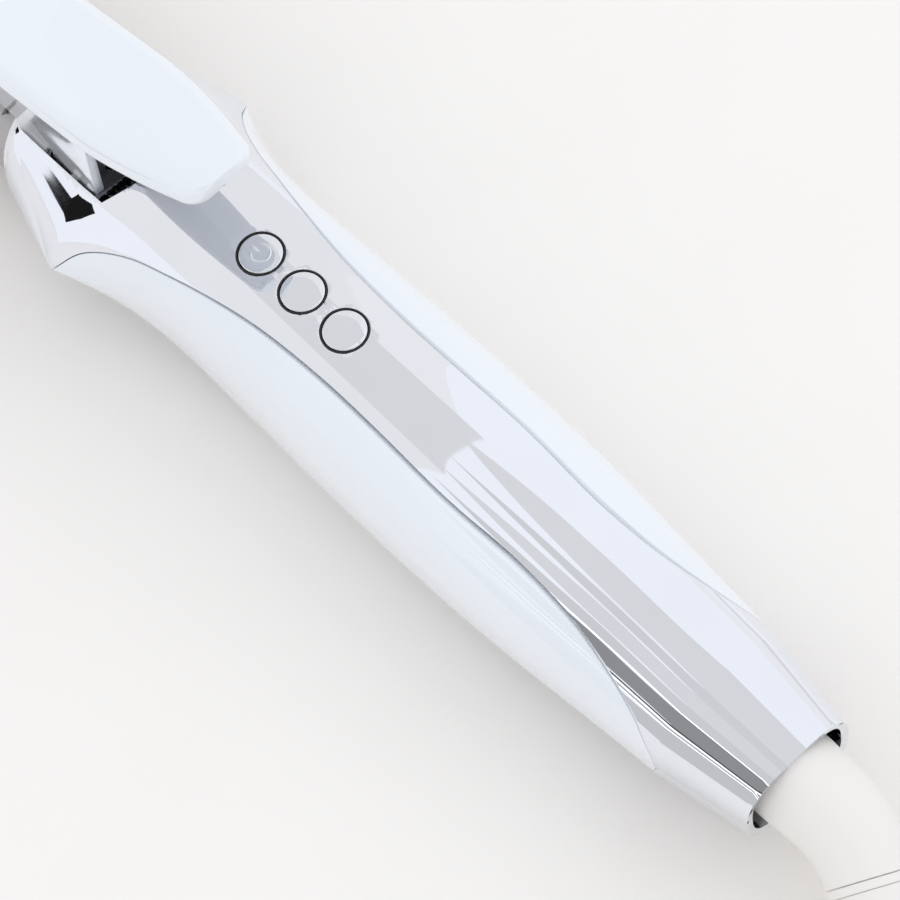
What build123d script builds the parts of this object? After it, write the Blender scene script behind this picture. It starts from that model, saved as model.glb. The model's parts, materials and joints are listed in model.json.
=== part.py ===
from build123d import *

import os
from math import copysign, cos, pi, radians, sin

# A clamp curling iron with a chromed handle, white side panels and a swivelling cord gland.
# It lies along X with its barrel towards +X, its thumb lever on top and its origin on the
# surface it lies on, under the middle of its box. Lengths are in millimetres. A station is
# a distance along the handle from the shoulder, positive towards the barrel.

# Where the handle's axis and its widest station, the shoulder, lie in the part's frame.
AXIS_Z = 18.0
SHOULDER_X = 22.4

# Handle sections: station from the shoulder, half width, height over and under the axis,
# and the power of the superellipse that rounds the section.
GRIP_SECTIONS = [
    (-147.5, 15.0, 12.0, 12.0, 2.7),
    (-132.5, 16.1, 13.1, 13.6, 2.6),
    (-115.0, 17.4, 14.6, 15.6, 2.6),
    (-98.0, 18.2, 15.9, 17.2, 2.6),
    (-80.0, 18.4, 16.8, 18.2, 2.6),
    (-62.0, 18.2, 17.3, 18.6, 2.6),
    (-43.0, 17.7, 17.5, 18.6, 2.6),
    (-25.0, 17.6, 17.8, 18.6, 2.5),
    (-12.0, 19.6, 18.6, 18.6, 2.0),
    (0.0, 24.0, 19.5, 18.8, 1.4),
]
REAR_RIM = (-165.9, 11.8, 10.0, 10.0, 2.8)
FRONT_RIM_X = 18.9
FRONT_RIM_R = 18.3
CREASE_ANGLE = 42.0
SIDE_LAND = 1.2
CROWN_STEPS = 12
WALL = 3.0
REAR_WALL = 1.2
FRONT_WALL = 1.1
PANEL_WALL = 1.4
SEAT_WALL = 1.6
PARTING_GAP = 0.1

# Outline of a side panel in side view, from the rear tip over the top to the front tip.
PANEL_TOP = [
    (-147.7, 0.0), (-146.2, 3.9), (-143.0, 7.2), (-139.0, 9.1), (-132.0, 10.9),
    (-122.0, 12.6), (-108.0, 14.0), (-90.0, 15.0), (-75.0, 15.7), (-60.0, 16.0),
    (-45.0, 15.7), (-34.0, 14.8), (-24.0, 13.2), (-15.0, 11.0), (-6.0, 6.6), (-0.6, 0.0),
]
PANEL_GAP = 0.3
PANEL_INNER_Y = 7.5

# The lever's pocket in the top of the handle.
POCKET_Y = 12.0
POCKET_REAR = (-5.2, -9.6)
POCKET_FLOOR = 1.5
POCKET_WALL = 1.5
POCKET_FRONT = 10.2
POCKET_BLOCK_Y = 15.2
SILL_Z = 9.0

# The clamp's hinge.
PIN_X = 5.0
PIN_Z = 9.5
PIN_R = 1.5
PIN_HALF = 14.4
HUB_R = 4.4
RUNNING = 0.05

# Lever.
LEVER_Y = 11.45
LEVER_CHEEK = 2.0
LEVER_TIP = (-31.5, 40.0)
LEVER_KNEE = (26.0, 25.6)
LEVER_NOSE = (50.0, 19.2)
LEVER_TIP_Y = 7.0
LEVER_NOSE_Y = 8.0
LEVER_SKIN = 2.4
PLATE_CLEAR_R = 17.3

# Barrel, clamp plate and tip.
BARREL_R = 16.0
BARREL_WALL = 1.2
BARREL_X = (12.0, 134.0)
PLATE_R = (16.25, 17.15)
PLATE_X = (24.0, 131.0)
PLATE_ANGLE = 45.0
RIVET_X = (31.0, 42.0)
COLLAR_R = 17.0
TIP_X = 151.5
TIP_R = 15.9
TIP_SKIRT_R = 14.6
BARREL_BORE_R = 14.7
COLLAR_END = 21.5
SPREADER_X = (32.0, 122.0)
SPREADER_BORE_Z = 8.2
SPREADER_BORE_R = 4.8
HEATER_X = (36.0, 80.0)
HEATER_LENGTH = 38.0

# Buttons: stations, cap, ring and travel.
BUTTON_X = (-35.6, -46.6, -57.6)
BUTTON_TOP = (17.75, 17.65, 17.55)
BUTTON_R = 4.02
RING_R = (4.1, 4.45)
BUTTON_HOLE_R = 4.5
CAP_Z = 13.7
FLANGE_R = 5.2
FLANGE_Z = 13.1

# Circuit board.
BOARD_X = (-95.0, -19.5)
BOARD_Y = 10.5
BOARD_Z = 6.0
BOARD_T = 1.6
SWITCH_TOP = 11.2
PLUNGER_TOP = 12.0
STEM_BOTTOM = 12.6
BOARD_POSTS = [(-90.0, -7.5), (-90.0, 7.5), (-25.0, -7.5), (-25.0, 7.5)]
CASE_POSTS = [(-103.0, -5.0), (-103.0, 5.0), (-15.5, -8.0), (-15.5, 8.0)]
HOLDER_POSTS = [(-7.0, -6.2), (-7.0, 6.2)]
LEG_Z = (-12.5, -2.2)

# Swivelling cord gland: the elbow leaves the rear rim and leans to one side.
NECK_R = (8.6, 7.5)
CORD_BORE_R = 3.6
CAP_BORE_R = 3.3
NECK_IN = 6.0
NECK_STRAIGHT = 6.0
NECK_BEND_R = 24.0
NECK_BEND = 33.0
NECK_LEAN = -35.0
NECK_END = 0.7
NECK_RINGS = (-6.0, 0.0, 3.0, 6.0, 9.5, 13.0, 16.5, 20.5)
SHAFT_R = 5.45
SHAFT_IN = 31.0
BEARING_X = (-158.2, -149.0)
BEARING_R = 8.75
CLIP_X = -148.0
RING_T = 1.8
CAP_T = 7.5
CAP_ROUND = 3.0
CLIP_R = 7.6
WASHER_R = 7.4
CONTACT_X = (-143.5, -140.0)
CONTACT_R = 6.25
CONTACT_W = 1.8
BRUSH_END = 7.3
BRUSH_HOLDER_X = (-145.0, -137.0)
BRUSH_HOLDER_R = (7.5, 8.8)


def across(x):
    """The plane square to the handle's axis at station x, with Y across and Z up."""
    return Plane(origin=(SHOULDER_X + x, 0, AXIS_Z), x_dir=(0, 1, 0), z_dir=(1, 0, 0))


def along(y=0.0):
    """The upright plane through the handle, with stations across and heights up."""
    return Plane(origin=(SHOULDER_X, y, AXIS_Z), x_dir=(1, 0, 0), z_dir=(0, -1, 0))


def level(z):
    """The level plane at height z over the handle's axis."""
    return Plane(origin=(SHOULDER_X, 0, AXIS_Z + z), x_dir=(1, 0, 0), z_dir=(0, 0, 1))


def crown(half_width, height, power):
    """Points over a section's upper half, from one side to the other."""
    points = []
    for step in range(CROWN_STEPS + 1):
        angle = pi * step / CROWN_STEPS
        across_it = copysign(abs(cos(angle)) ** (2 / power), cos(angle))
        up_it = abs(sin(angle)) ** (2 / power)
        points.append((half_width * across_it, SIDE_LAND + (height - SIDE_LAND) * up_it))
    return points


def handle_section(section, inset):
    """The closed outline of the handle at one station, drawn inset from the outside."""
    x, half_width, top, bottom, power = section
    with BuildSketch(across(x)) as sketch:
        with BuildLine():
            upper = Spline(*crown(half_width - inset, top - inset, power))
            under = crown(half_width - inset, bottom - inset, power)
            lower = Spline(*[(y, -z) for y, z in under])
            Line(upper @ 0, lower @ 0)
            Line(upper @ 1, lower @ 1)
        make_face()
    return sketch.sketch


def front_rim(inset):
    """The round front rim, split where the shoulder's creases meet it."""
    radius = FRONT_RIM_R - inset
    with BuildSketch(across(FRONT_RIM_X)) as sketch:
        with BuildLine():
            for start in (CREASE_ANGLE, 180 + CREASE_ANGLE):
                CenterArc((0, 0), radius, start, 180 - 2 * CREASE_ANGLE)
            for start in (-CREASE_ANGLE, 180 - CREASE_ANGLE):
                CenterArc((0, 0), radius, start, 2 * CREASE_ANGLE)
        make_face()
    return sketch.sketch


def grip(inset):
    """The handle between the rear corner and the shoulder."""
    with BuildPart() as body:
        for section in GRIP_SECTIONS:
            add(handle_section(section, inset))
        loft()
    return body.part


def handle(inset, rear_inset, front_inset):
    """The whole handle as one solid, its surface inset by the wall."""
    with BuildPart() as rear:
        add(handle_section(REAR_RIM, rear_inset))
        add(handle_section(GRIP_SECTIONS[0], inset))
        loft(ruled=True)
    with BuildPart() as front:
        add(handle_section(GRIP_SECTIONS[-1], inset))
        add(front_rim(front_inset))
        loft(ruled=True)
    with BuildPart() as body:
        add(grip(inset))
        add(rear.part)
        add(front.part)
    return body.part


def cavity():
    """The hollow inside the shells, open at both rims."""
    with BuildPart() as hollow:
        add(handle(WALL, REAR_WALL, FRONT_WALL))
        with BuildSketch(across(FRONT_RIM_X)):
            Circle(FRONT_RIM_R - FRONT_WALL)
        extrude(amount=2)
        add(handle_section(REAR_RIM, REAR_WALL))
        extrude(amount=-2)
    return hollow.part


def panel_prism(gap):
    """The lens outline of the side panels, drawn outwards on both sides of the handle."""
    grown = [(x, z + gap if 0 < z else z) for x, z in PANEL_TOP]
    grown[0] = (PANEL_TOP[0][0] - gap, 0)
    grown[-1] = (PANEL_TOP[-1][0] + gap, 0)
    with BuildPart() as prism:
        with BuildSketch(along(PANEL_INNER_Y)):
            with BuildLine():
                Spline(*grown)
                Spline(*[(x, -z) for x, z in grown])
            make_face()
        extrude(amount=-30)
        mirror(about=Plane.XZ)
    return prism.part


def pocket_outline(offset_by, front):
    """The lever pocket's outline in plan."""
    side = POCKET_Y + offset_by
    corner, middle = POCKET_REAR
    rear = corner - offset_by
    floor = POCKET_FLOOR - (POCKET_WALL if offset_by else 0)
    with BuildSketch(level(floor)) as sketch:
        with BuildLine():
            ThreePointArc((rear, side), (middle - offset_by, 0), (rear, -side))
            Polyline((rear, -side), (front, -side), (front, side), (rear, side))
        make_face()
    return sketch.sketch


def post(x, y, radius, bottom, top, bore):
    """A round post between two heights over the axis, bored right through."""
    with BuildPart() as column:
        with BuildSketch(level(bottom)):
            with Locations((x, y)):
                Circle(radius)
        extrude(amount=top - bottom)
        if bore:
            with BuildSketch(level(bottom)):
                with Locations((x, y)):
                    Circle(bore)
            extrude(amount=top - bottom, mode=Mode.SUBTRACT)
    return column.part


def rod(x0, x1, radius, inner=0.0, y=0.0, z=0.0):
    """A round bar or tube along the handle's axis."""
    with BuildPart() as bar:
        with BuildSketch(across(x0)):
            with Locations((y, z)):
                Circle(radius)
                if inner:
                    Circle(inner, mode=Mode.SUBTRACT)
        extrude(amount=x1 - x0)
    return bar.part


def block(x, y, z):
    """A box between pairs of stations, widths and heights."""
    with BuildPart() as box:
        with BuildSketch(level(z[0])):
            with Locations(((x[0] + x[1]) / 2, (y[0] + y[1]) / 2)):
                Rectangle(x[1] - x[0], y[1] - y[0])
        extrude(amount=z[1] - z[0])
    return box.part


def pin_across(radius, half, x=PIN_X, z=PIN_Z):
    """A round bar across the handle."""
    with BuildPart() as bar:
        with BuildSketch(along()):
            with Locations((x, z)):
                Circle(radius)
        extrude(amount=half, both=True)
    return bar.part


def save(part, name):
    """Labels a finished piece and writes it."""
    part.label = name
    export_step(part, f"parts/{name}.step")


os.makedirs("parts", exist_ok=True)

OUTSIDE = handle(0, 0, 0)
HOLLOW = cavity()
GRIP = grip(0)
SEAT = panel_prism(PANEL_GAP) - grip(SEAT_WALL)


def make_top_shell():
    """Makes the upper chrome shell with the pocket the lever moves in."""
    with BuildPart() as lining:
        add(pocket_outline(POCKET_WALL, POCKET_FRONT + POCKET_WALL))
        extrude(amount=30)
        add(block((-7, POCKET_FRONT + POCKET_WALL), (-POCKET_BLOCK_Y, POCKET_BLOCK_Y), (4, 20)))
        add(OUTSIDE, mode=Mode.INTERSECT)
    with BuildPart() as shell:
        add(OUTSIDE)
        add(HOLLOW, mode=Mode.SUBTRACT)
        add(lining.part)
        for x, y in CASE_POSTS:
            add(post(x, y, 3, 0, 14.5 if x > BOARD_X[1] else 13, 0))
            add(post(x, y, 1.25, -1, 12, 0), mode=Mode.SUBTRACT)
        add(SEAT, mode=Mode.SUBTRACT)
        add(pocket_outline(0, POCKET_FRONT))
        extrude(amount=30, mode=Mode.SUBTRACT)
        mouth = block((POCKET_FRONT - 1, FRONT_RIM_X + 1), (-POCKET_Y, POCKET_Y), (SILL_Z, 30))
        add(mouth, mode=Mode.SUBTRACT)
        add(pin_across(PIN_R, PIN_HALF + 0.05), mode=Mode.SUBTRACT)
        split(bisect_by=level(PARTING_GAP / 2), keep=Keep.TOP)
        for x in BUTTON_X:
            add(post(x, 0, BUTTON_HOLE_R, 10, 25, 0), mode=Mode.SUBTRACT)
        add(rod(BARREL_X[0] - 0.1, FRONT_RIM_X + 1, COLLAR_R + 0.1), mode=Mode.SUBTRACT)
    save(shell.part, "top_shell")


def make_bottom_shell():
    """Makes the lower chrome shell with its posts and screw wells."""
    with BuildPart() as posts:
        for x, y in CASE_POSTS:
            add(post(x, y, 3, -17, 0, 0))
        for x, y in HOLDER_POSTS:
            add(post(x, y, 2, -17, LEG_Z[0], 0))
        for x, y in BOARD_POSTS:
            add(post(x, y, 2.4, -17, BOARD_Z, 0))
        add(OUTSIDE, mode=Mode.INTERSECT)
        for x, y in BOARD_POSTS:
            add(post(x, y, 0.9, BOARD_Z - 6, BOARD_Z, 0), mode=Mode.SUBTRACT)
        add(SEAT, mode=Mode.SUBTRACT)
    with BuildPart() as shell:
        add(OUTSIDE)
        add(HOLLOW, mode=Mode.SUBTRACT)
        add(SEAT, mode=Mode.SUBTRACT)
        split(bisect_by=level(-PARTING_GAP / 2), keep=Keep.BOTTOM)
        add(posts.part)
        split(bisect_by=level(-AXIS_Z), keep=Keep.TOP)
        for x, y in HOLDER_POSTS:
            add(post(x, y, 0.9, LEG_Z[0] - 3, LEG_Z[0], 0), mode=Mode.SUBTRACT)
        add(rod(BARREL_X[0] - 0.1, FRONT_RIM_X + 1, COLLAR_R + 0.1), mode=Mode.SUBTRACT)
        for x, y in CASE_POSTS:
            add(post(x, y, 1.5, -20, 0, 0), mode=Mode.SUBTRACT)
            add(post(x, y, 2.6, -20, -13, 0), mode=Mode.SUBTRACT)
    save(shell.part, "bottom_shell")


def make_panels():
    """Makes the two white panels that close the sides of the handle."""
    with BuildPart() as both:
        add(panel_prism(0))
        add(GRIP, mode=Mode.INTERSECT)
        add(grip(PANEL_WALL), mode=Mode.SUBTRACT)
    sides = both.part.solids().sort_by(Axis.Y)
    for solid, name in ((sides[0], "right_panel"), (sides[-1], "left_panel")):
        with BuildPart() as panel:
            add(solid)
        save(panel.part, name)


def make_lever():
    """Makes the thumb lever, hollow underneath, with the cheeks that hang on the pin."""
    tip_x, tip_z = LEVER_TIP
    knee_x, knee_z = LEVER_KNEE
    nose_x, nose_z = LEVER_NOSE
    with BuildPart() as lever:
        with BuildSketch(along()):
            with BuildLine():
                Polyline(
                    (tip_x, tip_z), (knee_x, knee_z), (nose_x, nose_z), (nose_x, 14.8),
                    (PIN_X + HUB_R, 14.8), (PIN_X + HUB_R, PIN_Z - HUB_R), (PIN_X - HUB_R, PIN_Z - HUB_R),
                    (-2.5, 13.0), (-4.5, 28.6), (tip_x, tip_z - 3.4), close=True,
                )
            make_face()
        extrude(amount=LEVER_Y, both=True)
        with BuildSketch(level(0)):
            with BuildLine():
                Polyline(
                    (tip_x, LEVER_TIP_Y), (1, LEVER_Y), (30, LEVER_Y), (nose_x, LEVER_NOSE_Y),
                    (nose_x, -LEVER_NOSE_Y), (30, -LEVER_Y), (1, -LEVER_Y), (tip_x, -LEVER_TIP_Y),
                    close=True,
                )
            make_face()
            fillet(vertices().group_by(Axis.X)[0], 3)
            fillet(vertices().group_by(Axis.X)[-1], 2)
        extrude(amount=60, mode=Mode.INTERSECT)
        with BuildSketch(along()):
            with BuildLine():
                Polyline(
                    (-4.5, 0), (-4.5, 33.2 - LEVER_SKIN), (knee_x - 1, knee_z - LEVER_SKIN),
                    (nose_x - 3, nose_z - LEVER_SKIN + 0.6), (nose_x - 3, 0), close=True,
                )
            make_face()
        extrude(amount=LEVER_Y - LEVER_CHEEK, both=True, mode=Mode.SUBTRACT)
        for x in RIVET_X:
            add(post(x, 0, 2.6, 14, 22.2 - 0.3 * (x - RIVET_X[0]), 0))
        add(rod(0, 60, PLATE_CLEAR_R), mode=Mode.SUBTRACT)
        for x in RIVET_X:
            add(post(x, 0, 1.5, 14, 20.0, 0), mode=Mode.SUBTRACT)
        add(pin_across(PIN_R + RUNNING, 20), mode=Mode.SUBTRACT)
    save(lever.part, "lever")


def make_clamp_plate():
    """Makes the curved plate that holds hair against the barrel."""
    with BuildPart() as plate:
        with BuildSketch(across(PLATE_X[0])):
            with BuildLine():
                start = 90 - PLATE_ANGLE
                outer = CenterArc((0, 0), PLATE_R[1], start, 2 * PLATE_ANGLE)
                inner = CenterArc((0, 0), PLATE_R[0], start, 2 * PLATE_ANGLE)
                Line(outer @ 0, inner @ 0)
                Line(outer @ 1, inner @ 1)
            make_face()
        extrude(amount=PLATE_X[1] - PLATE_X[0])
        with BuildSketch(level(0)):
            with Locations(((PLATE_X[0] + PLATE_X[1]) / 2, 0)):
                Rectangle(PLATE_X[1] - PLATE_X[0], 2 * PLATE_R[1] * sin(radians(PLATE_ANGLE)))
            fillet(vertices().group_by(Axis.X)[-1], 9)
        extrude(amount=20, mode=Mode.INTERSECT)
        for x in RIVET_X:
            add(post(x, 0, 1.5, 10, 20, 0), mode=Mode.SUBTRACT)
            add(post(x, 0, 2.5, 10, PLATE_R[0] + 0.45, 0), mode=Mode.SUBTRACT)
    save(plate.part, "clamp_plate")


def make_clamp_rivets():
    """Makes the rivets that hold the plate to the lever."""
    with BuildPart() as rivets:
        for x in RIVET_X:
            add(post(x, 0, 1.45, PLATE_R[0] + 0.05, 19.9, 0))
            add(post(x, 0, 2.4, PLATE_R[0] + 0.05, PLATE_R[0] + 0.42, 0))
    save(rivets.part, "clamp_rivets")


def make_hinge():
    """Makes the pin, the sleeve that stands for the coil spring, and two spacers."""
    save(pin_across(PIN_R, PIN_HALF), "hinge_pin")
    with BuildPart() as spring:
        add(pin_across(3.2, 5.5))
        add(pin_across(2.0, 6), mode=Mode.SUBTRACT)
    save(spring.part, "clamp_spring")
    with BuildPart() as spacers:
        for side in (-1, 1):
            with BuildSketch(along(side * 7.5)):
                with Locations((PIN_X, PIN_Z)):
                    Circle(3.0)
                    Circle(PIN_R + RUNNING, mode=Mode.SUBTRACT)
            extrude(amount=1.7, both=True)
    save(spacers.part, "hinge_spacers")


def make_barrel():
    """Makes the barrel, its collar and holder, and what heats it."""
    start, end = BARREL_X
    save(rod(start, end, BARREL_R, BARREL_R - BARREL_WALL), "barrel_tube")
    with BuildPart() as collar:
        add(rod(start, COLLAR_END, COLLAR_R, BARREL_R + 0.05))
    save(collar.part, "barrel_collar")
    with BuildPart() as holder:
        add(rod(POCKET_FRONT + 1.6, 27, BARREL_BORE_R))
        add(block((-10, POCKET_FRONT + 1.7), (-8, 8), LEG_Z))
        add(block((-20, 40), (-4.2, 4.2), (-7, 0)), mode=Mode.SUBTRACT)
        for x, y in HOLDER_POSTS:
            add(post(x, y, 1.2, -20, 0, 0), mode=Mode.SUBTRACT)
    save(holder.part, "barrel_holder")
    halves = (("upper_heat_spreader", 1.4, BARREL_R), ("lower_heat_spreader", -BARREL_R, -1.4))
    for name, low, high in halves:
        with BuildPart() as spreader:
            add(rod(*SPREADER_X, BARREL_BORE_R))
            add(block(SPREADER_X, (-BARREL_R, BARREL_R), (low, high)), mode=Mode.INTERSECT)
            for height in (-SPREADER_BORE_Z, SPREADER_BORE_Z):
                add(rod(*SPREADER_X, SPREADER_BORE_R, z=height), mode=Mode.SUBTRACT)
        save(spreader.part, name)
    with BuildPart() as heaters:
        for x in HEATER_X:
            add(block((x, x + HEATER_LENGTH), (-7, 7), (-1.3, 1.3)))
    save(heaters.part, "ceramic_heaters")
    save(rod(44, 58, 1.4, y=10.5, z=0), "thermistor")
    save(rod(34, 48, 1.3, y=-10.5, z=0), "thermal_fuse")


def make_cool_tip():
    """Makes the tip, the screw that holds it and the anchor it screws into."""
    end = BARREL_X[1]
    with BuildPart() as tip:
        with BuildSketch(along()):
            with BuildLine():
                Polyline(
                    (end - 8, 3), (end - 8, TIP_SKIRT_R), (end + 0.1, TIP_SKIRT_R),
                    (end + 0.1, TIP_R), (end + 10, TIP_R),
                )
                nose = Spline(
                    (end + 10, TIP_R), (TIP_X - 2.2, 12.2), (TIP_X, 5.0),
                    tangents=((1, 0), (0, -1)),
                )
                Polyline(nose @ 1, (TIP_X, 2.8), (end + 6, 2.8), (end + 6, 3), (end - 8, 3))
            make_face()
        revolve(axis=Axis((0, 0, AXIS_Z), (1, 0, 0)))
    save(tip.part, "cool_tip")
    with BuildPart() as screw:
        add(rod(end - 7, end + 6.2, 1.5))
        add(rod(end + 6.2, end + 8.4, 2.6))
    save(screw.part, "tip_screw")
    with BuildPart() as anchor:
        add(rod(end - 11, end - 1, 2.95, 1.55))
        add(rod(end - 11, end - 8.2, BARREL_BORE_R, 1.55))
    save(anchor.part, "tip_anchor")


def make_buttons():
    """Makes the three buttons and the seals round them."""
    for x, top, name in zip(BUTTON_X, BUTTON_TOP, ("power_button", "minus_button", "plus_button")):
        with BuildPart() as button:
            add(post(x, 0, BUTTON_R, FLANGE_Z + 0.4, top, 0))
            fillet(button.edges().group_by(Axis.Z)[-1], 0.4)
            add(post(x, 0, FLANGE_R, FLANGE_Z, CAP_Z, 0))
            add(post(x, 0, 1.6, STEM_BOTTOM, FLANGE_Z, 0))
        save(button.part, name)
    with BuildPart() as rings:
        for x, top in zip(BUTTON_X, BUTTON_TOP):
            add(post(x, 0, RING_R[1], 15.2, top - 0.25, RING_R[0]))
    save(rings.part, "button_rings")


def make_board():
    """Makes the circuit board with its switches, screws and large components."""
    with BuildPart() as board:
        add(block(BOARD_X, (-BOARD_Y, BOARD_Y), (BOARD_Z, BOARD_Z + BOARD_T)))
        fillet(board.edges().filter_by(Axis.Z), 2)
        for x, y in BOARD_POSTS:
            add(post(x, y, 1.1, 0, 20, 0), mode=Mode.SUBTRACT)
    save(board.part, "circuit_board")
    board_top = BOARD_Z + BOARD_T
    with BuildPart() as switches:
        for x in BUTTON_X:
            add(block((x - 3, x + 3), (-3, 3), (board_top, SWITCH_TOP)))
            add(post(x, 0, 1.6, SWITCH_TOP, PLUNGER_TOP, 0))
    save(switches.part, "tact_switches")
    with BuildPart() as screws:
        for x, y in BOARD_POSTS:
            add(post(x, y, 0.85, BOARD_Z - 5, board_top, 0))
            add(post(x, y, 1.7, board_top, board_top + 1.3, 0))
    save(screws.part, "board_screws")
    save(block((-84, -74), (-5, 5), (board_top, board_top + 4.5)), "triac")
    save(post(-69, 0, 3.2, board_top, board_top + 6.0, 0), "capacitor")
    save(block((-60, -46), (-6, 6), (BOARD_Z - 9, BOARD_Z)), "power_supply")


def make_case_screws():
    """Makes the screws that close the shells and hold the barrel holder."""
    with BuildPart() as screws:
        for x, y in CASE_POSTS:
            add(post(x, y, 1.2, -13, 9, 0))
            add(post(x, y, 2.4, -15.0, -13, 0))
    save(screws.part, "case_screws")
    with BuildPart() as screws:
        for x, y in HOLDER_POSTS:
            add(post(x, y, 0.85, LEG_Z[0] - 2.5, LEG_Z[1], 0))
            add(post(x, y, 1.6, LEG_Z[1], LEG_Z[1] + 1.3, 0))
    save(screws.part, "holder_screws")


def gland_plane(distance):
    """The plane square to the elbow's line at a distance past the rim, facing the cord's way."""
    lean = radians(NECK_LEAN)
    bent = max(distance - NECK_STRAIGHT, 0) / NECK_BEND_R
    turn = min(bent, radians(NECK_BEND))
    rest = max(distance - NECK_STRAIGHT - NECK_BEND_R * radians(NECK_BEND), 0)
    side = NECK_BEND_R * (1 - cos(turn)) + rest * sin(turn)
    back = min(distance, NECK_STRAIGHT) + NECK_BEND_R * sin(turn) + rest * cos(turn)
    origin = (SHOULDER_X + REAR_RIM[0] - back, side * cos(lean), AXIS_Z + side * sin(lean))
    facing = (-cos(turn), sin(turn) * cos(lean), sin(turn) * sin(lean))
    return Plane(origin=origin, x_dir=(0, -sin(lean), cos(lean)), z_dir=facing)


def gland_seam():
    """How far past the rim the elbow ends."""
    return NECK_STRAIGHT + NECK_BEND_R * radians(NECK_BEND) + NECK_END


def gland_loft(rings):
    """A round body through circles of given radius at given distances along the elbow."""
    with BuildPart() as body:
        for distance, radius in rings:
            with BuildSketch(gland_plane(distance)):
                Circle(radius)
        loft()
    return body.part


def neck_radius(distance):
    """The elbow's radius, tapering from the rim to the seam."""
    rim_r, seam_r = NECK_R
    return rim_r + (seam_r - rim_r) * max(distance, 0) / gland_seam()


def cord_way():
    """The cord's bore along the elbow's line, from inside the handle to past the seam."""
    lean = radians(NECK_LEAN)
    rim = (SHOULDER_X + REAR_RIM[0], 0, AXIS_Z)
    bend_plane = Plane(origin=rim, x_dir=(-1, 0, 0), z_dir=(0, sin(lean), -cos(lean)))
    inner_end = SHAFT_IN + NECK_END
    with BuildPart() as bore:
        with BuildLine(bend_plane):
            lead = Line((-inner_end, 0), (NECK_STRAIGHT, 0))
            bend = JernArc(lead @ 1, lead % 1, NECK_BEND_R, NECK_BEND)
            Line(bend @ 1, (bend @ 1) + (bend % 1) * (2 * NECK_END))
        with BuildSketch(across(REAR_RIM[0] + inner_end)):
            Circle(CORD_BORE_R)
        sweep()
    return bore.part


def gland_ring(radius, start, length, bore):
    """A round piece past the elbow's seam, with the cord's bore through it."""
    with BuildPart() as ring:
        with BuildSketch(gland_plane(gland_seam()).offset(start)):
            Circle(radius)
            Circle(bore, mode=Mode.SUBTRACT)
        extrude(amount=length)
    return ring


def make_gland():
    """Makes the swivel elbow, its cord clamp, bearing, clip and slip contacts."""
    rim_x = REAR_RIM[0]
    with BuildPart() as neck:
        add(gland_loft([(s, neck_radius(s)) for s in NECK_RINGS]))
        add(rod(rim_x + NECK_IN, rim_x + SHAFT_IN, SHAFT_R))
        add(cord_way(), mode=Mode.SUBTRACT)
        add(rod(CLIP_X, CLIP_X + 1.2, SHAFT_R + 1, SHAFT_R - 0.5), mode=Mode.SUBTRACT)
    save(neck.part, "swivel_elbow")
    seam = gland_plane(gland_seam())
    save(gland_ring(NECK_R[1], 0.1, RING_T - 0.2, CORD_BORE_R).part, "gland_band")
    cap = gland_ring(NECK_R[1], RING_T, CAP_T, CAP_BORE_R)
    with cap:
        outer_end = cap.faces().sort_by(Axis(seam.origin, seam.z_dir))[-1]
        fillet(outer_end.outer_wire().edges(), CAP_ROUND)
    save(cap.part, "gland_cap")
    save(rod(CLIP_X + 0.1, CLIP_X + 1.1, CLIP_R, SHAFT_R - 0.45), "swivel_clip")
    save(rod(*BEARING_X, BEARING_R, SHAFT_R + RUNNING), "swivel_bearing")
    save(rod(BEARING_X[1] + 0.1, CLIP_X - 0.1, WASHER_R, SHAFT_R + RUNNING), "swivel_washer")
    with BuildPart() as rings:
        for x in CONTACT_X:
            add(rod(x, x + CONTACT_W, CONTACT_R, SHAFT_R))
    save(rings.part, "contact_rings")
    with BuildPart() as brushes:
        for x, side in zip(CONTACT_X, (1, -1)):
            ends = sorted((side * (CONTACT_R + 0.05), side * BRUSH_END))
            add(block((x + 0.3, x + CONTACT_W - 0.3), ends, (-1.5, 1.5)))
    save(brushes.part, "contact_brushes")
    save(rod(*BRUSH_HOLDER_X, BRUSH_HOLDER_R[1], BRUSH_HOLDER_R[0]), "brush_holder")


def make_leads():
    """Makes the mains leads and the heater leads."""
    with BuildPart() as mains:
        for y in (-1.2, 1.2):
            with BuildLine(along(y)):
                FilletPolyline(
                    (-136.9, 8.15), (-130, 8.15), (-120, 3.5), (-108, 3.5), (-95.2, 4.9),
                    radius=4,
                )
            with BuildSketch(across(-136.9)):
                with Locations((y, 8.15)):
                    Circle(0.6)
            sweep()
    save(mains.part, "mains_leads")
    with BuildPart() as heat:
        for y in (-2.8, 2.8):
            with BuildLine(along(y)):
                FilletPolyline((-19.4, 4.9), (-15.2, 4.9), (-13.8, -4.5), (31.9, -4.5), radius=2)
            with BuildSketch(across(-19.4)):
                with Locations((y, 4.9)):
                    Circle(0.8)
            sweep()
    save(heat.part, "heater_leads")


make_top_shell()
make_bottom_shell()
make_panels()
make_lever()
make_clamp_plate()
make_clamp_rivets()
make_hinge()
make_barrel()
make_cool_tip()
make_buttons()
make_board()
make_case_screws()
make_gland()
make_leads()
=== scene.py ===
"""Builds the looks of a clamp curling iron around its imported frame.

Lengths are in metres. A station is a distance along the handle from its widest place,
the shoulder, positive towards the barrel; heights are over the handle's axis.
"""

import json

from math import asin, cos, pi, radians, sin, sqrt

import bmesh
import bpy
from mathutils import Matrix, Vector


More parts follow.
